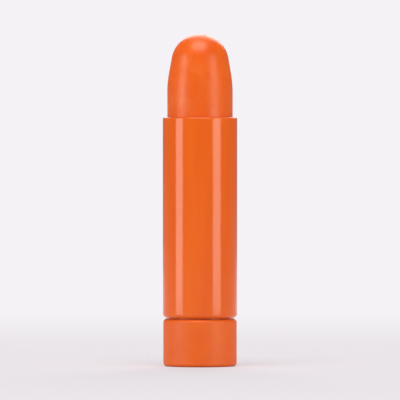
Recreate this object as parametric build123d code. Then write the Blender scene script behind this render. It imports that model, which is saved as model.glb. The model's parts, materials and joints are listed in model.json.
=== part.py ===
from build123d import *
from math import cos, pi, radians, sin, tan
import os

# Twist crayon, upright on its knob. Origin at the centre of the knob's rear rim, +Z to the tip.

# Barrel
barrel_diameter = 16.0
barrel_length = 43.0
barrel_wall = 0.85
mouth_chamfer = 0.25
bulkhead_thickness = 1.2
spigot_wall = 0.95

# Key grooves along the bore that stop the carrier from turning
key_count = 3
key_groove_depth = 0.35
key_groove_width = 1.8
key_turn = 90.0

# Twist knob
knob_height = 10.2
knob_inset = 0.1
knob_wall = 1.25
knob_web_thickness = 1.4
rim_chamfer = 0.45
rear_hollow_depth = 3.6
rear_ledge = 0.35
rib_count = 6
rib_thickness = 0.9
rib_height = 1.8
hub_wall = 1.1

# Seam between knob and barrel
seam_gap = 0.25
seam_chamfer = 0.5

# Lead screw
thread_pitch = 5.0
thread_height = 0.9
thread_flank = 15.0
core_radius = 2.2
flange_radius = 4.2
flange_thickness = 0.8
journal_radius = 2.15
tail_flat = 1.6
prong_slot = 0.9
prong_length = 4.0
barb_height = 0.8
barb_taper = 0.6
thread_runout = 0.5

# Carrier cup
carrier_height = 7.6
carrier_floor = 1.0
carrier_wall = 0.65
nut_wall = 1.1
nut_turns = 0.8
nut_lead_in = 0.25
nut_engagement = 3.0
key_height = 5.0

# Gel stick
nose_radius = 6.2
tip_taper = 10.0
tip_reach = 18.0
tip_sink = 0.5
reach_spare = 6.0

# Clearances
running_clearance = 0.08
end_clearance = 0.3
thrust_clearance = 0.06
carrier_clearance = 0.12
key_clearance = 0.12
stick_clearance = 0.1
cast_clearance = 0.03
drive_clearance = 0.04
thread_clearance = 0.2
crest_clearance = 0.2
screw_bore_clearance = 0.3

# How far fused features run into each other
overlap = 0.15

# Radii that follow from the fits
barrel_radius = barrel_diameter / 2
bore_radius = barrel_radius - barrel_wall
knob_radius = barrel_radius - knob_inset
knob_bore_radius = knob_radius - knob_wall
ribbed_radius = knob_bore_radius - rear_ledge
spigot_radius = knob_bore_radius - running_clearance
spigot_bore_radius = spigot_radius - spigot_wall
hub_radius = journal_radius + drive_clearance + hub_wall
crest_radius = core_radius + thread_height
nut_bore_radius = crest_radius + crest_clearance
nut_crest_radius = core_radius + crest_clearance
nut_radius = nut_bore_radius + nut_wall
cup_radius = bore_radius - carrier_clearance
cup_bore_radius = cup_radius - carrier_wall
stick_radius = bore_radius - stick_clearance
foot_radius = cup_bore_radius - cast_clearance

# Widths of the two thread ridges, equal at the middle of their height
ridge_middle = thread_pitch / 2 - thread_clearance
ridge_slope = thread_height * tan(radians(thread_flank))
ridge_root = ridge_middle + ridge_slope
ridge_crest = ridge_middle - ridge_slope

# Heights of the knob and barrel
web_bottom = rear_hollow_depth + rib_height
web_top = web_bottom + knob_web_thickness
barb_bottom = rear_hollow_depth + running_clearance
hub_bottom = barb_bottom + barb_height + drive_clearance
shoulder_z = knob_height + seam_gap
hub_top = shoulder_z - end_clearance
spigot_bottom = web_top + end_clearance
bulkhead_top = shoulder_z + bulkhead_thickness
mouth_z = shoulder_z + barrel_length

# Heights of the carrier and stick, and how far they travel from rest
flange_bottom = bulkhead_top + thrust_clearance
flange_top = flange_bottom + flange_thickness
carrier_lowest = flange_top + end_clearance
travel_in = tip_reach + tip_sink
travel_out = reach_spare
carrier_bottom = carrier_lowest + travel_in
carrier_highest = carrier_bottom + travel_out
nut_height = 2 * nut_lead_in + ridge_root + nut_turns * thread_pitch
screw_top = carrier_highest + nut_engagement
tip_z = mouth_z + tip_reach
cup_floor_top = carrier_bottom + carrier_floor
cup_top = carrier_bottom + carrier_height
nut_top = carrier_bottom + nut_height
stick_bore_top = screw_top + travel_in + end_clearance

# The tip is a round nose on a slight taper that runs out into the stick's side
taper = radians(tip_taper)
nose_centre = tip_z - nose_radius
nose_edge_radius = nose_radius * cos(taper)
nose_edge_z = nose_centre + nose_radius * sin(taper)
taper_foot_z = nose_edge_z - (stick_radius - nose_edge_radius) / tan(taper)

# Where each thread ridge starts; the nut's ridge lies midway in the screw's groove
screw_ridge_start = flange_top + ridge_root
screw_ridge_end = screw_top - thread_runout - ridge_root / 2
nut_ridge_start = carrier_bottom + nut_lead_in + ridge_root / 2
nut_phase = 360 * (screw_ridge_start + thread_pitch / 2 - nut_ridge_start) / thread_pitch


def turned(*outline):
    """Solid of revolution about Z from a closed outline of (radius, height) points."""
    return revolve(make_face(Plane.XZ * Polyline(*outline, close=True)), Axis.Z)


def bar(inner, outer, width, low, high):
    """Upright rectangular bar between two distances from the axis along X."""
    shape = Box(outer - inner, width, high - low, align=(Align.MIN, Align.CENTER, Align.MIN))
    return Pos(inner, 0, low) * shape


def disc(radius, low, high):
    """Upright cylinder between two heights."""
    shape = Cylinder(radius, high - low, align=(Align.CENTER, Align.CENTER, Align.MIN))
    return Pos(0, 0, low) * shape


def ridge(root_radius, top_radius, start, end):
    """Left-hand trapezoid thread ridge that starts on +X, its flanks run on a little into the part."""
    sunk = root_radius - overlap if top_radius > root_radius else root_radius + overlap
    sunk_width = ridge_root + 2 * overlap * tan(radians(thread_flank))
    section = Polyline(
        (sunk, -sunk_width / 2),
        (top_radius, -ridge_crest / 2),
        (top_radius, ridge_crest / 2),
        (sunk, sunk_width / 2),
        close=True,
    )
    path = Helix(thread_pitch, end - start, root_radius, lefthand=True)
    return Pos(0, 0, start) * sweep(make_face(Plane.XZ * section), path=path, is_frenet=True)


def drive_section(radius, flat, low, high):
    """Round bar with two flats square to X, as used for the keyed tail and its socket."""
    return disc(radius, low, high) & bar(-flat, flat, 2 * radius, low, high)


def make_barrel():
    tube = turned(
        (journal_radius + running_clearance, shoulder_z),
        (spigot_bore_radius, shoulder_z),
        (spigot_bore_radius, spigot_bottom),
        (spigot_radius, spigot_bottom),
        (spigot_radius, shoulder_z),
        (barrel_radius - seam_chamfer, shoulder_z),
        (barrel_radius, shoulder_z + seam_chamfer),
        (barrel_radius, mouth_z - mouth_chamfer),
        (barrel_radius - mouth_chamfer, mouth_z),
        (bore_radius, mouth_z),
        (bore_radius, bulkhead_top),
        (journal_radius + running_clearance, bulkhead_top),
    )
    groove = bar(0, bore_radius + key_groove_depth, key_groove_width, bulkhead_top, mouth_z)
    for spot in PolarLocations(0, key_count, start_angle=key_turn):
        tube -= spot * groove
    return tube


def make_knob():
    shell = turned(
        (journal_radius, hub_bottom),
        (hub_radius, hub_bottom),
        (hub_radius, web_bottom),
        (ribbed_radius, web_bottom),
        (ribbed_radius, rear_hollow_depth),
        (knob_bore_radius, rear_hollow_depth),
        (knob_bore_radius, 0),
        (knob_radius - rim_chamfer, 0),
        (knob_radius, rim_chamfer),
        (knob_radius, knob_height - seam_chamfer),
        (knob_radius - seam_chamfer, knob_height),
        (knob_bore_radius, knob_height),
        (knob_bore_radius, web_top),
        (hub_radius, web_top),
        (hub_radius, hub_top),
        (journal_radius, hub_top),
    )
    rib = bar(hub_radius - overlap, ribbed_radius + overlap, rib_thickness, rear_hollow_depth, web_bottom)
    for spot in PolarLocations(0, rib_count):
        shell += spot * rib
    hub = disc(hub_radius, hub_bottom, hub_top)
    socket_radius = journal_radius + drive_clearance
    socket = drive_section(socket_radius, tail_flat + drive_clearance, hub_bottom, hub_top)
    return shell + hub - socket


def make_lead_screw():
    flats_top = shoulder_z - end_clearance / 2
    screw = turned(
        (0, flats_top),
        (journal_radius, flats_top),
        (journal_radius, flange_bottom),
        (flange_radius, flange_bottom),
        (flange_radius, flange_top),
        (core_radius, flange_top),
        (core_radius, screw_top),
        (0, screw_top),
    )
    screw += drive_section(journal_radius, tail_flat, hub_bottom - drive_clearance, flats_top)
    screw += turned(
        (0, barb_bottom),
        (journal_radius - barb_taper, barb_bottom),
        (journal_radius, barb_bottom + barb_taper),
        (journal_radius, barb_bottom + barb_height),
        (0, barb_bottom + barb_height),
    )
    screw -= bar(-prong_slot / 2, prong_slot / 2, 2 * hub_radius, barb_bottom, barb_bottom + prong_length)
    return screw + ridge(core_radius, crest_radius, screw_ridge_start, screw_ridge_end)


def make_carrier():
    cup = turned(
        (nut_bore_radius, carrier_bottom),
        (cup_radius, carrier_bottom),
        (cup_radius, cup_top),
        (cup_bore_radius, cup_top),
        (cup_bore_radius, cup_floor_top),
        (nut_radius, cup_floor_top),
        (nut_radius, nut_top),
        (nut_bore_radius, nut_top),
    )
    reach = bore_radius + key_groove_depth - key_clearance
    width = key_groove_width - 2 * key_clearance
    key = bar(cup_bore_radius + overlap, reach, width, carrier_bottom, carrier_bottom + key_height)
    for spot in PolarLocations(0, key_count, start_angle=key_turn):
        cup += spot * key
    nut_ridge_end = nut_ridge_start + nut_turns * thread_pitch
    nut_ridge = ridge(nut_bore_radius, nut_crest_radius, nut_ridge_start, nut_ridge_end)
    return cup + Rot(0, 0, nut_phase) * nut_ridge


def make_stick():
    floor = cup_floor_top + cast_clearance
    shelf = cup_top + cast_clearance
    socket_top = nut_top + cast_clearance
    socket_radius = nut_radius + cast_clearance
    bore = crest_radius + screw_bore_clearance
    outline = Polyline(
        (0, tip_z),
        (0, stick_bore_top),
        (bore, stick_bore_top),
        (bore, socket_top),
        (socket_radius, socket_top),
        (socket_radius, floor),
        (foot_radius, floor),
        (foot_radius, shelf),
        (stick_radius, shelf),
        (stick_radius, taper_foot_z),
        (nose_edge_radius, nose_edge_z),
    )
    nose = CenterArc((0, nose_centre), nose_radius, tip_taper, 90 - tip_taper)
    return revolve(make_face(Plane.XZ * (outline + nose)), Axis.Z)


pieces = {
    "barrel": make_barrel(),
    "twist_knob": make_knob(),
    "lead_screw": make_lead_screw(),
    "carrier_cup": make_carrier(),
    "gel_stick": make_stick(),
}

os.makedirs("parts", exist_ok=True)
for name, shape in pieces.items():
    export_step(shape, f"parts/{name}.step")
    print(name, "solids", len(shape.solids()), "volume", round(shape.volume, 1), "valid", shape.is_valid)

print("travel in", travel_in, "out", travel_out, "lead per radian", thread_pitch / (2 * pi))
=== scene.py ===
import bpy
import json
from math import cos, hypot, pi, radians, sin, tan
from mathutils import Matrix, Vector

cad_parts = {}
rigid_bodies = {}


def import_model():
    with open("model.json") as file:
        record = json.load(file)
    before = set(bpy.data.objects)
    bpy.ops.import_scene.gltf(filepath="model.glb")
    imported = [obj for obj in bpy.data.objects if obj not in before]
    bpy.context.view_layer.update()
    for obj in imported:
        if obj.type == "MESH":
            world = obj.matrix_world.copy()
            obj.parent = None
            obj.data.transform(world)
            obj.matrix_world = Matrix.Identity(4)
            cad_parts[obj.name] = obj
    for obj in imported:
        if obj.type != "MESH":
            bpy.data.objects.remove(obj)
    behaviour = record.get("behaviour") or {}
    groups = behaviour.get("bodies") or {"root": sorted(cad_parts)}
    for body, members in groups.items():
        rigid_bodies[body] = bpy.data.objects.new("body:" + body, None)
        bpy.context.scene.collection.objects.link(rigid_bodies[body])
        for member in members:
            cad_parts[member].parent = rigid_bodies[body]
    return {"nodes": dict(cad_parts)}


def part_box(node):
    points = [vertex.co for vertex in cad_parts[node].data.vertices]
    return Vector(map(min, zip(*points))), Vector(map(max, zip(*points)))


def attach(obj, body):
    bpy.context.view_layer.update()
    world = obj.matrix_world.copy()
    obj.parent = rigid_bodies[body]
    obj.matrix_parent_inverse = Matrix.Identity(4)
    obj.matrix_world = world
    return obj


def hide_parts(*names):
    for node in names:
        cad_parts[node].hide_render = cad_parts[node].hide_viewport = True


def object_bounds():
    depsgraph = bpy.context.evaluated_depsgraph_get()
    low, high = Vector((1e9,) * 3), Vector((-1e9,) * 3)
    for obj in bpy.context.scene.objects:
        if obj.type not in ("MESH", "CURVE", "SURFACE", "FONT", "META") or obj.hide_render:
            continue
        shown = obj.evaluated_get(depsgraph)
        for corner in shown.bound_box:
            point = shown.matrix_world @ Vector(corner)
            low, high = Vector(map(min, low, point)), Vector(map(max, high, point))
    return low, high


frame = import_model()
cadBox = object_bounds()
mm = 0.001                      # sizes below are in millimetres, Blender works in metres
turnSteps = 150                 # facets round the axis
cornerSteps = 4                 # facets of a rounded corner in an outline
barSteps = 3                    # facets of a bar's rounded edges
smoothAngle = 32                # edges that turn by less than this are shaded smooth
mergeGap = 0.001 * mm           # points closer than this become one
pickGap = 0.002 * mm            # a point this close to a corner is that corner
cutSpare = 1.0                  # cutting bars run this far past what they cut
print("frame loaded:", ", ".join(sorted(frame["nodes"])))


# Modelling: an outline is drawn beside the axis, its corners rounded, and then it is spun

def startOutline(name):         # a plane merged to one point
    bpy.ops.object.select_all(action="DESELECT")
    bpy.ops.mesh.primitive_plane_add(size=mm)
    piece = bpy.context.object
    piece.name = piece.data.name = name
    bpy.ops.object.mode_set(mode="EDIT")
    bpy.ops.mesh.select_all(action="SELECT")
    bpy.ops.mesh.merge(type="CENTER")
    return piece


def pickPoints(piece, test):    # selects the points that pass the test, and leaves edit mode on
    bpy.ops.object.mode_set(mode="EDIT")
    bpy.ops.mesh.select_mode(type="VERT")
    bpy.ops.mesh.select_all(action="DESELECT")
    bpy.ops.object.mode_set(mode="OBJECT")
    for point in piece.data.vertices:
        point.select = test(point.co)
    bpy.ops.object.mode_set(mode="EDIT")


def isAt(co, corner):
    return hypot(co.x - corner[0] * mm, co.z - corner[1] * mm) < pickGap


def drawOutline(piece, outline, closed):      # outline points are radius, height and corner round
    here = Vector((0, 0, 0))
    for number, (radius, height, _) in enumerate(outline):
        there = Vector((radius, 0, height)) * mm
        if number == 0:
            bpy.ops.transform.translate(value=there)
        else:
            bpy.ops.mesh.extrude_region_move(TRANSFORM_OT_translate={"value": there - here})
        here = there
    if closed:
        ends = outline[0], outline[-1]
        pickPoints(piece, lambda co: any(isAt(co, corner) for corner in ends))
        bpy.ops.mesh.edge_face_add()
    for corner in outline:
        if corner[2] > 0:
            pickPoints(piece, lambda co: isAt(co, corner))
            bpy.ops.mesh.bevel(affect="VERTICES", offset=corner[2] * mm, segments=cornerSteps)


def spinOutline(piece):         # once round Z, with the seam merged and each pole one flat cap
    bpy.ops.mesh.select_all(action="SELECT")
    bpy.ops.mesh.spin(steps=turnSteps, angle=2 * pi, center=(0, 0, 0), axis=(0, 0, 1))
    bpy.ops.mesh.select_all(action="SELECT")
    bpy.ops.mesh.remove_doubles(threshold=mergeGap)
    bpy.ops.mesh.normals_make_consistent(inside=False)
    pickPoints(piece, lambda co: hypot(co.x, co.y) < mergeGap)
    bpy.ops.mesh.dissolve_verts()
    bpy.ops.object.mode_set(mode="OBJECT")


def makeActive(piece):
    bpy.ops.object.select_all(action="DESELECT")
    piece.select_set(True)
    bpy.context.view_layer.objects.active = piece


def applyModifier(piece, kind, **settings):
    makeActive(piece)
    modifier = piece.modifiers.new(kind.lower(), kind)
    for name, value in settings.items():
        setattr(modifier, name, value)
    bpy.ops.object.modifier_apply(modifier=modifier.name)


def radialBar(inner, outer, width, low, high, turn, rounding):      # a bar that points out from the axis
    bpy.ops.object.select_all(action="DESELECT")
    bpy.ops.mesh.primitive_cube_add(size=1)
    piece = bpy.context.object
    bpy.ops.object.mode_set(mode="EDIT")
    bpy.ops.mesh.select_all(action="SELECT")
    bpy.ops.transform.resize(value=((outer - inner) * mm, width * mm, (high - low) * mm))
    bpy.ops.transform.translate(value=((outer + inner) / 2 * mm, 0, (high + low) / 2 * mm))
    if rounding > 0:
        bpy.ops.mesh.bevel(affect="EDGES", offset=rounding * mm, segments=barSteps)
    bpy.ops.object.mode_set(mode="OBJECT")
    piece.rotation_euler.z = radians(turn)
    bpy.ops.object.transform_apply(location=True, rotation=True, scale=True)
    return piece


def combine(piece, other, operation):         # boolean with a helper piece, which is then thrown away
    applyModifier(piece, "BOOLEAN", object=other, operation=operation, solver="EXACT")
    bpy.data.objects.remove(other)


def finishPiece(piece, body, node, material):
    makeActive(piece)
    bpy.ops.object.shade_smooth_by_angle(angle=radians(smoothAngle))
    applyModifier(piece, "WEIGHTED_NORMAL", keep_sharp=True)      # long walls shade flat beside their rounds
    piece.data.materials.clear()
    piece.data.materials.append(material)
    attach(piece, body)
    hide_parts(node)
    print(piece.name, "faces", len(piece.data.polygons))


# Material helpers

def hexColour(code):            # sRGB hex to linear
    channels = [int(code[at:at + 2], 16) / 255 for at in (1, 3, 5)]
    return [c / 12.92 if c <= 0.04045 else ((c + 0.055) / 1.055) ** 2.4 for c in channels] + [1]


def feed(tree, node, links):    # a source is a socket, or a node whose first live output is used
    live = {socket.name: socket for socket in node.inputs if socket.enabled}
    for name, source in links.items():
        if isinstance(source, bpy.types.Node):
            source = next(socket for socket in source.outputs if socket.enabled)
        tree.links.new(source, node.inputs[name] if isinstance(name, int) else live[name])


def addNode(tree, kind, values=None, links=None, **settings):
    node = tree.nodes.new(kind)
    for name, value in settings.items():
        setattr(node, name, value)
    live = {socket.name: socket for socket in node.inputs if socket.enabled}
    for name, value in (values or {}).items():
        socket = node.inputs[name] if isinstance(name, int) else live[name]
        socket.default_value = value
    feed(tree, node, links or {})
    return node


def newMaterial(name):
    material = bpy.data.materials.new(name)
    material.use_nodes = True
    tree = material.node_tree
    return material, tree, tree.nodes["Principled BSDF"]


def perSize(size):              # texture scale of a pattern of this size in millimetres
    return 1 / (size * mm)


# Barrel: a tube with a bulkhead, a spigot for the knob and three key grooves in the bore

barrelFinish = {
    "pigment": ("#F26E0C", "#DE5608"),        # orange, and the redder streaks that it leaves along the flow
    "streak": 4.0,
    "streakStretch": 10,                      # times as long as wide
    "ripple": 6.0,                            # slow moulding ripple that makes a reflection waver
    "rippleHeight": 0.035,
    "draw": 0.5,                              # draw marks of the polished tool, coarser than real to show
    "drawStretch": 50,
    "drawRange": (0.35, 0.7),                 # noise from clean to marked
    "hairline": 0.35,                         # handling hairlines round the tube, coarser than real to show
    "hairlineStretch": 12.5,
    "hairlineRange": (0.62, 0.8),             # only the peaks of the noise scuff
    "roughness": (0.12, 0.17, 0.25),          # clean, draw-marked, scuffed
    "ior": 1.49,
}


# Injection moulded in a polished tool: deep colour, clear lengthwise reflections
def polishedPolypropylene():
    look = barrelFinish
    material, tree, shader = newMaterial("polished_polypropylene_orange")
    place = addNode(tree, "ShaderNodeTexCoord").outputs["Object"]
    along = addNode(tree, "ShaderNodeMapping",
                    {"Scale": (1, 1, 1 / look["streakStretch"])}, {"Vector": place})
    streaks = addNode(tree, "ShaderNodeTexNoise",
                      {"Scale": perSize(look["streak"]), "Detail": 3}, {"Vector": along})
    pale, deep = (hexColour(code) for code in look["pigment"])
    colour = addNode(tree, "ShaderNodeMix", {"A": pale, "B": deep}, {"Factor": streaks}, data_type="RGBA")
    drawn = addNode(tree, "ShaderNodeMapping",
                    {"Scale": (1, 1, 1 / look["drawStretch"])}, {"Vector": place})
    draw = addNode(tree, "ShaderNodeTexNoise",
                   {"Scale": perSize(look["draw"]), "Detail": 2}, {"Vector": drawn})
    clean, marked, scuffed = look["roughness"]
    low, high = look["drawRange"]
    gloss = addNode(tree, "ShaderNodeMapRange",
                    {"From Min": low, "From Max": high, "To Min": clean, "To Max": marked}, {"Value": draw})
    flat = 1 / look["hairlineStretch"]
    turned = addNode(tree, "ShaderNodeMapping", {"Scale": (flat, flat, 1)}, {"Vector": place})
    hair = addNode(tree, "ShaderNodeTexNoise",
                   {"Scale": perSize(look["hairline"]), "Detail": 1}, {"Vector": turned})
    low, high = look["hairlineRange"]
    scuff = addNode(tree, "ShaderNodeMapRange",
                    {"From Min": low, "From Max": high, "To Max": scuffed - marked}, {"Value": hair})
    wear = addNode(tree, "ShaderNodeMath", None, {0: gloss, 1: scuff}, operation="ADD")
    ripple = addNode(tree, "ShaderNodeTexNoise",
                     {"Scale": perSize(look["ripple"]), "Detail": 1}, {"Vector": place})
    bump = addNode(tree, "ShaderNodeBump", {"Distance": look["rippleHeight"] * mm}, {"Height": ripple})
    feed(tree, shader, {"Base Color": colour, "Roughness": wear, "Normal": bump})
    shader.inputs["IOR"].default_value = look["ior"]
    return material


barrelShape = {
    "seamGap": 0.25,
    "seamChamfer": 0.5,
    "journalHole": 2.23,
    "spigotRadius": 6.57,
    "spigotBore": 5.62,
    "boreRadius": 7.15,
    "bulkhead": 1.2,
    "bulkheadRound": 0.15,
    "lipRound": 0.3,
    "lipInnerRound": 0.12,
    "cornerRound": 0.2,
    "edgeRound": 0.1,
    "grooveDepth": 0.35,
    "grooveWidth": 1.8,
    "grooveTurns": (90, 210, 330),
}


def makeBarrel():
    shape = barrelShape
    low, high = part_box("barrel")
    outer, mouth, spigotEnd = high.x / mm, high.z / mm, low.z / mm
    bore, hole = shape["boreRadius"], shape["journalHole"]
    corner, edge = shape["cornerRound"], shape["edgeRound"]
    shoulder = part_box("twist_knob")[1].z / mm + shape["seamGap"]
    bulkheadTop = shoulder + shape["bulkhead"]
    barrel = startOutline("barrel_tube")
    drawOutline(barrel, [
        (hole, shoulder, 0),
        (shape["spigotBore"], shoulder, 0),
        (shape["spigotBore"], spigotEnd, edge),
        (shape["spigotRadius"], spigotEnd, corner),
        (shape["spigotRadius"], shoulder, 0),
        (outer - shape["seamChamfer"], shoulder, edge),
        (outer, shoulder + shape["seamChamfer"], corner),
        (outer, mouth, shape["lipRound"]),
        (bore, mouth, shape["lipInnerRound"]),
        (bore, bulkheadTop, shape["bulkheadRound"]),
        (hole, bulkheadTop, 0),
    ], closed=True)
    spinOutline(barrel)
    for turn in shape["grooveTurns"]:
        groove = radialBar(bore - cutSpare, bore + shape["grooveDepth"], shape["grooveWidth"],
                           bulkheadTop, mouth + cutSpare, turn, 0)
        combine(barrel, groove, "DIFFERENCE")
    finishPiece(barrel, "barrel", "barrel", polishedPolypropylene())


# Twist knob: a collar with a web, a socketed hub and stiffening ribs in its hollow rear

knobFinish = {
    "pigment": ("#EE6A0C", "#E25A09"),
    "cloud": 4.0,
    "grain": 0.34,                            # spark-eroded grain, six times coarser than real to show
    "grainHeight": 0.014,
    "grainRange": (0.3, 0.7),
    "roughness": (0.4, 0.54),
    "polish": 0.3,                            # the rim is rubbed bright where it stands on a table
    "polishHeight": 0.7,
    "ior": 1.49,
}


# Moulded in a spark-eroded tool: fine even grain, broad dull highlight
def satinPolypropylene():
    look = knobFinish
    material, tree, shader = newMaterial("satin_polypropylene_orange")
    place = addNode(tree, "ShaderNodeTexCoord").outputs["Object"]
    cloud = addNode(tree, "ShaderNodeTexNoise",
                    {"Scale": perSize(look["cloud"]), "Detail": 3}, {"Vector": place})
    pale, deep = (hexColour(code) for code in look["pigment"])
    colour = addNode(tree, "ShaderNodeMix", {"A": pale, "B": deep}, {"Factor": cloud}, data_type="RGBA")
    grain = addNode(tree, "ShaderNodeTexNoise",
                    {"Scale": perSize(look["grain"]), "Detail": 2}, {"Vector": place})
    smooth, rough = look["roughness"]
    low, high = look["grainRange"]
    gloss = addNode(tree, "ShaderNodeMapRange",
                    {"From Min": low, "From Max": high, "To Min": smooth, "To Max": rough}, {"Value": grain})
    height = addNode(tree, "ShaderNodeSeparateXYZ", None, {"Vector": place}).outputs["Z"]
    rim = addNode(tree, "ShaderNodeMapRange",
                  {"From Max": look["polishHeight"] * mm, "To Min": 1, "To Max": 0}, {"Value": height})
    rubbed = addNode(tree, "ShaderNodeMix", {"B": look["polish"]}, {"Factor": rim, "A": gloss},
                     data_type="FLOAT")
    bump = addNode(tree, "ShaderNodeBump", {"Distance": look["grainHeight"] * mm}, {"Height": grain})
    feed(tree, shader, {"Base Color": colour, "Roughness": rubbed, "Normal": bump})
    shader.inputs["IOR"].default_value = look["ior"]
    return material


knobShape = {
    "wall": 1.25,
    "rimChamfer": 0.45,
    "rimRound": 0.12,
    "rimInnerRound": 0.15,
    "seamChamfer": 0.5,
    "cornerRound": 0.2,
    "edgeRound": 0.1,
    "rearHollow": 3.6,
    "rearLedge": 0.35,
    "webBottom": 5.4,
    "webTop": 6.8,
    "hubRadius": 3.29,
    "hubBottom": 4.52,
    "hubTop": 10.15,
    "hubRound": 0.15,
    "socketRadius": 2.19,
    "socketFlat": 1.64,
    "socketSides": 96,
    "ribCount": 6,
    "ribWidth": 0.9,
    "ribRound": 0.15,
    "ribSunk": 0.3,                           # ribs run this far into what they join
}


def makeSocket(shape):          # round bar with two flats, the shape of the screw's keyed tail
    bpy.ops.object.select_all(action="DESELECT")
    radius, flat = shape["socketRadius"], shape["socketFlat"]
    low, high = shape["hubBottom"] - cutSpare, shape["hubTop"] + cutSpare
    bpy.ops.mesh.primitive_cylinder_add(vertices=shape["socketSides"], radius=radius * mm,
                                        depth=(high - low) * mm, location=(0, 0, (low + high) / 2 * mm))
    socket = bpy.context.object
    bpy.ops.object.transform_apply(location=True, rotation=True, scale=True)
    flats = radialBar(-flat, flat, 2 * radius + cutSpare, low - cutSpare, high + cutSpare, 0, 0)
    combine(socket, flats, "INTERSECT")
    return socket


def makeKnob():
    shape = knobShape
    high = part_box("twist_knob")[1]
    outer, top = high.x / mm, high.z / mm
    bore = outer - shape["wall"]
    ledge = bore - shape["rearLedge"]
    hub, sunk = shape["hubRadius"], shape["ribSunk"]
    corner, edge = shape["cornerRound"], shape["edgeRound"]
    knob = startOutline("knob_collar")
    drawOutline(knob, [
        (0, shape["hubBottom"], 0),
        (hub, shape["hubBottom"], shape["hubRound"]),
        (hub, shape["webBottom"], corner),
        (ledge, shape["webBottom"], corner),
        (ledge, shape["rearHollow"], edge),
        (bore, shape["rearHollow"], corner),
        (bore, 0, shape["rimInnerRound"]),
        (outer - shape["rimChamfer"], 0, shape["rimRound"]),
        (outer, shape["rimChamfer"], corner),
        (outer, top - shape["seamChamfer"], corner),
        (outer - shape["seamChamfer"], top, edge),
        (bore, top, edge),
        (bore, shape["webTop"], corner),
        (hub, shape["webTop"], corner),
        (hub, shape["hubTop"], edge),
        (0, shape["hubTop"], 0),
    ], closed=False)
    spinOutline(knob)
    for number in range(shape["ribCount"]):
        rib = radialBar(hub - sunk, ledge + sunk, shape["ribWidth"],
                        shape["rearHollow"], shape["webBottom"] + sunk,
                        360 * number / shape["ribCount"], shape["ribRound"])
        combine(knob, rib, "UNION")
    combine(knob, makeSocket(shape), "DIFFERENCE")
    finishPiece(knob, "knob", "twist_knob", satinPolypropylene())


# Gel stick: a cast stick with a domed tip, hollow for the screw and seated in the carrier cup

gelFinish = {
    "pigment": ("#F26C0A", "#DE5406"),
    "bloom": "#F08744",                       # thin wax haze that settles on a cast stick
    "bloomShare": 0.3,
    "bloomSize": 6.0,
    "bloomRange": (0.5, 0.75),
    "swirl": 6.0,
    "swirlBend": 1.2,
    "mottle": 2.6,
    "mottleHeight": 0.02,
    "mottleRange": (0.3, 0.7),
    "roughness": (0.29, 0.4),
    "ior": 1.44,
    "soak": 0.25,                             # share of the light that goes into the gel
    "scatter": (1.6, 0.5, 0.15),              # how far red, green and blue get in it
}


# Soft wax gel cast in a smooth tip mould: light soaks in, soft greasy sheen
def castGel():
    look = gelFinish
    material, tree, shader = newMaterial("cast_wax_gel_orange")
    place = addNode(tree, "ShaderNodeTexCoord").outputs["Object"]
    swirl = addNode(tree, "ShaderNodeTexNoise",
                    {"Scale": perSize(look["swirl"]), "Detail": 3, "Distortion": look["swirlBend"]},
                    {"Vector": place})
    pale, deep = (hexColour(code) for code in look["pigment"])
    colour = addNode(tree, "ShaderNodeMix", {"A": pale, "B": deep}, {"Factor": swirl}, data_type="RGBA")
    patches = addNode(tree, "ShaderNodeTexNoise",
                      {"Scale": perSize(look["bloomSize"]), "Detail": 2}, {"Vector": place})
    low, high = look["bloomRange"]
    haze = addNode(tree, "ShaderNodeMapRange",
                   {"From Min": low, "From Max": high, "To Max": look["bloomShare"]}, {"Value": patches})
    bloomed = addNode(tree, "ShaderNodeMix", {"B": hexColour(look["bloom"])}, {"Factor": haze, "A": colour},
                      data_type="RGBA")
    mottle = addNode(tree, "ShaderNodeTexNoise",
                     {"Scale": perSize(look["mottle"]), "Detail": 1}, {"Vector": place})
    smooth, rough = look["roughness"]
    low, high = look["mottleRange"]
    gloss = addNode(tree, "ShaderNodeMapRange",
                    {"From Min": low, "From Max": high, "To Min": smooth, "To Max": rough}, {"Value": mottle})
    bump = addNode(tree, "ShaderNodeBump", {"Distance": look["mottleHeight"] * mm}, {"Height": mottle})
    feed(tree, shader, {"Base Color": bloomed, "Roughness": gloss, "Normal": bump})
    shader.inputs["IOR"].default_value = look["ior"]
    shader.inputs["Subsurface Weight"].default_value = look["soak"]
    shader.inputs["Subsurface Radius"].default_value = look["scatter"]
    shader.inputs["Subsurface Scale"].default_value = mm
    return material


stickShape = {
    "noseRadius": 6.2,
    "taper": 10,
    "tipRound": 24.0,
    "footRadius": 6.35,
    "shelf": 38.94,
    "socketRadius": 4.43,
    "socketTop": 38.38,
    "boreRadius": 3.4,
    "boreTop": 59.11,
    "boreRound": 0.3,
    "edgeRound": 0.1,
    "arcSteps": 14,
    "sideSteps": 16,
    "skin": 1.0,                              # what lies this far beyond the bore belongs to the outside
    "unevenness": 0.045,                      # the cast surface wanders by this much, always inwards
    "unevenSize": 4.5,
}


# Rings up the side, a wide round, a slight taper and a round nose
def tipOutline(shape, radius, tip):
    taper = radians(shape["taper"])
    nose, wide = shape["noseRadius"], shape["tipRound"]
    noseCentre = tip - nose
    wideCentre = radius - wide
    edge = wideCentre + wide * cos(taper)
    edgeHeight = noseCentre + nose * sin(taper) - (edge - nose * cos(taper)) / tan(taper)
    wideHeight = edgeHeight - wide * sin(taper)
    shelf, sideSteps = shape["shelf"], shape["sideSteps"]
    steps, noseSteps = shape["arcSteps"], 2 * shape["arcSteps"]
    side = [shelf + (wideHeight - shelf) * step / sideSteps for step in range(1, sideSteps)]
    points = [(radius, height, 0) for height in side]
    for step in range(steps + 1):
        angle = taper * step / steps
        points.append((wideCentre + wide * cos(angle), wideHeight + wide * sin(angle), 0))
    for step in range(noseSteps):
        angle = taper + (pi / 2 - taper) * step / noseSteps
        points.append((nose * cos(angle), noseCentre + nose * sin(angle), 0))
    return points + [(0, tip, 0)]


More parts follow.
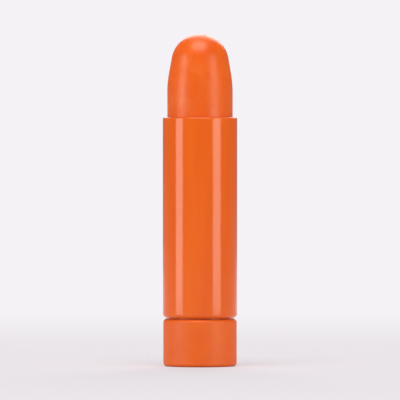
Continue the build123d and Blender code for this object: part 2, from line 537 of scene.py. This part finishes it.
def isOutside(co, shape):       # on the stick's side or nose, not in its bore or on its foot
    bore, skin = shape["boreRadius"], shape["skin"]
    beside = co.z > shape["shelf"] * mm and hypot(co.x, co.y) > (bore + skin) * mm
    return beside or co.z > (shape["boreTop"] + skin) * mm


def makeStick():
    shape = stickShape
    low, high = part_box("gel_stick")
    radius, floor, tip = high.x / mm, low.z / mm, high.z / mm
    foot, bore, socket = shape["footRadius"], shape["boreRadius"], shape["socketRadius"]
    edge = shape["edgeRound"]
    stick = startOutline("gel_stick_cast")
    drawOutline(stick, [
        (0, shape["boreTop"], 0),
        (bore, shape["boreTop"], shape["boreRound"]),
        (bore, shape["socketTop"], 0),
        (socket, shape["socketTop"], 0),
        (socket, floor, edge),
        (foot, floor, edge),
        (foot, shape["shelf"], 0),
        (radius, shape["shelf"], edge),
    ] + tipOutline(shape, radius, tip), closed=False)
    spinOutline(stick)
    outside = stick.vertex_groups.new(name="outside")
    for point in stick.data.vertices:
        if isOutside(point.co, shape):
            outside.add([point.index], 1, "REPLACE")
    wander = bpy.data.textures.new("cast_wander", "CLOUDS")
    wander.noise_scale = shape["unevenSize"] * mm
    wander.noise_depth = 1
    applyModifier(stick, "DISPLACE", texture=wander, texture_coords="LOCAL", vertex_group="outside",
                  strength=shape["unevenness"] * mm, mid_level=1)
    stick.vertex_groups.clear()
    finishPiece(stick, "stick", "gel_stick", castGel())


# Mechanism: the screw and carrier keep their solids and get their own plastics

whiteFinish = {
    "screw": ("#EFECE2", "#E0DBCC", 0.34),    # pale, dim and roughness
    "carrier": ("#F1EFE8", "#E3E0D6", 0.42),
    "cloud": 3.0,
    "flow": 0.6,
    "flowHeight": 0.008,
    "ior": 1.48,
    "soak": 0.3,
    "scatter": (1, 0.95, 0.85),
}


# Unpigmented moulding: milky white, light bleeds through its edges
def naturalPlastic(name, tint):
    look = whiteFinish
    pale, dim, roughness = tint
    material, tree, shader = newMaterial(name)
    place = addNode(tree, "ShaderNodeTexCoord").outputs["Object"]
    cloud = addNode(tree, "ShaderNodeTexNoise",
                    {"Scale": perSize(look["cloud"]), "Detail": 3}, {"Vector": place})
    colour = addNode(tree, "ShaderNodeMix", {"A": hexColour(pale), "B": hexColour(dim)}, {"Factor": cloud},
                     data_type="RGBA")
    flow = addNode(tree, "ShaderNodeTexNoise",
                   {"Scale": perSize(look["flow"]), "Detail": 2}, {"Vector": place})
    bump = addNode(tree, "ShaderNodeBump", {"Distance": look["flowHeight"] * mm}, {"Height": flow})
    feed(tree, shader, {"Base Color": colour, "Normal": bump})
    shader.inputs["Roughness"].default_value = roughness
    shader.inputs["IOR"].default_value = look["ior"]
    shader.inputs["Subsurface Weight"].default_value = look["soak"]
    shader.inputs["Subsurface Radius"].default_value = look["scatter"]
    shader.inputs["Subsurface Scale"].default_value = mm
    return material


def dressMechanism():
    dress = {
        "lead_screw": naturalPlastic("natural_acetal_white", whiteFinish["screw"]),
        "carrier_cup": naturalPlastic("natural_polypropylene_white", whiteFinish["carrier"]),
    }
    for name, material in dress.items():
        node = frame["nodes"][name]
        node.data.materials.clear()
        node.data.materials.append(material)
    print("mechanism dressed:", ", ".join(dress))


# Stage, lamps and camera

stageLook = {                                 # sizes in metres
    # painted shade: the paper round the crayon is painted a darker grey than the far paper, and further off
    # it is evenly pale
    "near": "#E8E4E8",                        # paper round the crayon, which keeps the shadow
    "far": "#F5F2F6",                         # paper and room further off
    "fade": (0.08, 0.4),                      # the near look goes over into the far one between these
    "glow": 0.4,                              # share of its own white that the near paper shows the camera
    "mirrorGlow": 0.15,                       # reflections see this much of what the camera sees
    "size": 12.0,
}


# How much of the pale surroundings a ray sees: 1 for the camera, less for reflections
def paleRays(tree):
    rays = addNode(tree, "ShaderNodeLightPath").outputs
    direct = addNode(tree, "ShaderNodeMath", None,
                     {0: rays["Is Camera Ray"], 1: rays["Is Transmission Ray"]}, operation="MAXIMUM")
    return addNode(tree, "ShaderNodeMath", {1: stageLook["mirrorGlow"]},
                   {0: rays["Is Glossy Ray"], 2: direct}, operation="MULTIPLY_ADD")


def whitePaper():               # seamless paper: keeps the shadow and shows pale to the camera
    look = stageLook
    material = bpy.data.materials.new("white_paper")
    material.use_nodes = True
    tree = material.node_tree
    tree.nodes.clear()
    place = addNode(tree, "ShaderNodeTexCoord").outputs["Object"]
    distance = addNode(tree, "ShaderNodeVectorMath", None, {0: place}, operation="LENGTH").outputs["Value"]
    # painted shade: the paper is darker and glows less near the crayon, and is paler and fully glowing
    # further off
    near, far = look["fade"]
    away = addNode(tree, "ShaderNodeMapRange", {"From Min": near, "From Max": far}, {"Value": distance},
                   interpolation_type="SMOOTHSTEP")
    colour = addNode(tree, "ShaderNodeMix", {"A": hexColour(look["near"]), "B": hexColour(look["far"])},
                     {"Factor": away}, data_type="RGBA")
    level = addNode(tree, "ShaderNodeMix", {"A": look["glow"], "B": 1}, {"Factor": away}, data_type="FLOAT")
    share = addNode(tree, "ShaderNodeMath", None, {0: paleRays(tree), 1: level}, operation="MULTIPLY")
    paper = addNode(tree, "ShaderNodeBsdfDiffuse", None, {"Color": colour})
    glow = addNode(tree, "ShaderNodeEmission", {"Strength": 1}, {"Color": colour})
    mix = addNode(tree, "ShaderNodeMixShader", None, {0: share, 1: paper, 2: glow})
    addNode(tree, "ShaderNodeOutputMaterial", None, {"Surface": mix})
    return material


def makeFloor():
    bpy.ops.object.select_all(action="DESELECT")
    bpy.ops.mesh.primitive_plane_add(size=stageLook["size"])
    floor = bpy.context.object
    floor.name = "paper_floor"
    floor.data.materials.append(whitePaper())
    print("paper laid")
    return floor


roomLook = {"light": 0.22}


def makeRoom():                 # dim even room light, shown pale to the camera like the far paper
    world = bpy.data.worlds.new("soft_room")
    bpy.context.scene.world = world
    world.use_nodes = True
    tree = world.node_tree
    strength = addNode(tree, "ShaderNodeMath", {1: roomLook["light"]}, {0: paleRays(tree)},
                       operation="MAXIMUM")
    sky = tree.nodes["Background"]
    sky.inputs["Color"].default_value = hexColour(stageLook["far"])
    feed(tree, sky, {"Strength": strength})
    print("room light set")


# Turn from the camera in degrees, height, distance, width and length in metres, watts, colour
lampPlan = {
    "left_strip": (-67, 0.06, 0.3, 0.13, 0.3, 0.56, "#FFF6E6"),
    "right_strip": (53, 0.06, 0.3, 0.14, 0.3, 0.54, "#FFF6E6"),
    "top_key": (-8, 0.8, 0.25, 0.6, 0.6, 4.9, "#FFFFFF"),
    "back_fill": (175, 0.6, 0.8, 0.7, 0.7, 4.8, "#FFFFFF"),
}
crayonOnly = ("left_strip", "right_strip")    # they light no paper, or it would show where they stand


def makeLamps(target, floor):
    crayon = bpy.data.collections.new("crayon")
    for piece in bpy.context.scene.objects:
        if piece.type == "MESH" and piece != floor:
            crayon.objects.link(piece)
    for name, (turn, height, distance, width, length, watts, colour) in lampPlan.items():
        lamp = bpy.data.lights.new(name, "AREA")
        lamp.shape = "RECTANGLE"
        lamp.size = width
        lamp.size_y = length
        lamp.energy = watts
        lamp.color = hexColour(colour)[:3]
        holder = bpy.data.objects.new(name, lamp)
        bpy.context.scene.collection.objects.link(holder)
        holder.location = (distance * sin(radians(turn)), -distance * cos(radians(turn)), height)
        holder.rotation_euler = (target - holder.location).to_track_quat("-Z", "Y").to_euler()
        holder.visible_camera = False         # lamps light the crayon but never stand in a view
        if name in crayonOnly:
            holder.light_linking.receiver_collection = crayon
    print("lamps:", ", ".join(lampPlan))


cameraPlan = {
    "elevation": 0.5,                         # degrees, almost level
    "distance": 1.1,                          # metres
    "sensor": 36,
    "fill": 0.83,                             # the crayon's share of the picture's height
}


def makeCamera():
    plan = cameraPlan
    low, high = (Vector(corner) for corner in cadBox)
    middle = (low + high) / 2
    data = bpy.data.cameras.new("product_camera")
    camera = bpy.data.objects.new("product_camera", data)
    bpy.context.scene.collection.objects.link(camera)
    data.sensor_fit = "HORIZONTAL"
    data.sensor_width = plan["sensor"]
    data.lens = plan["sensor"] * plan["distance"] * plan["fill"] / (high.z - low.z)
    tilt = radians(plan["elevation"])
    camera.location = middle + Vector((0, -cos(tilt), sin(tilt))) * plan["distance"]
    camera.rotation_euler = (middle - camera.location).to_track_quat("-Z", "Y").to_euler()
    bpy.context.scene.camera = camera
    print("camera placed")
    return middle


makeBarrel()
makeKnob()
makeStick()
dressMechanism()
paperFloor = makeFloor()
makeRoom()
middle = makeCamera()
makeLamps(middle, paperFloor)
bpy.context.scene.view_settings.view_transform = "Standard"

print("scene ready")
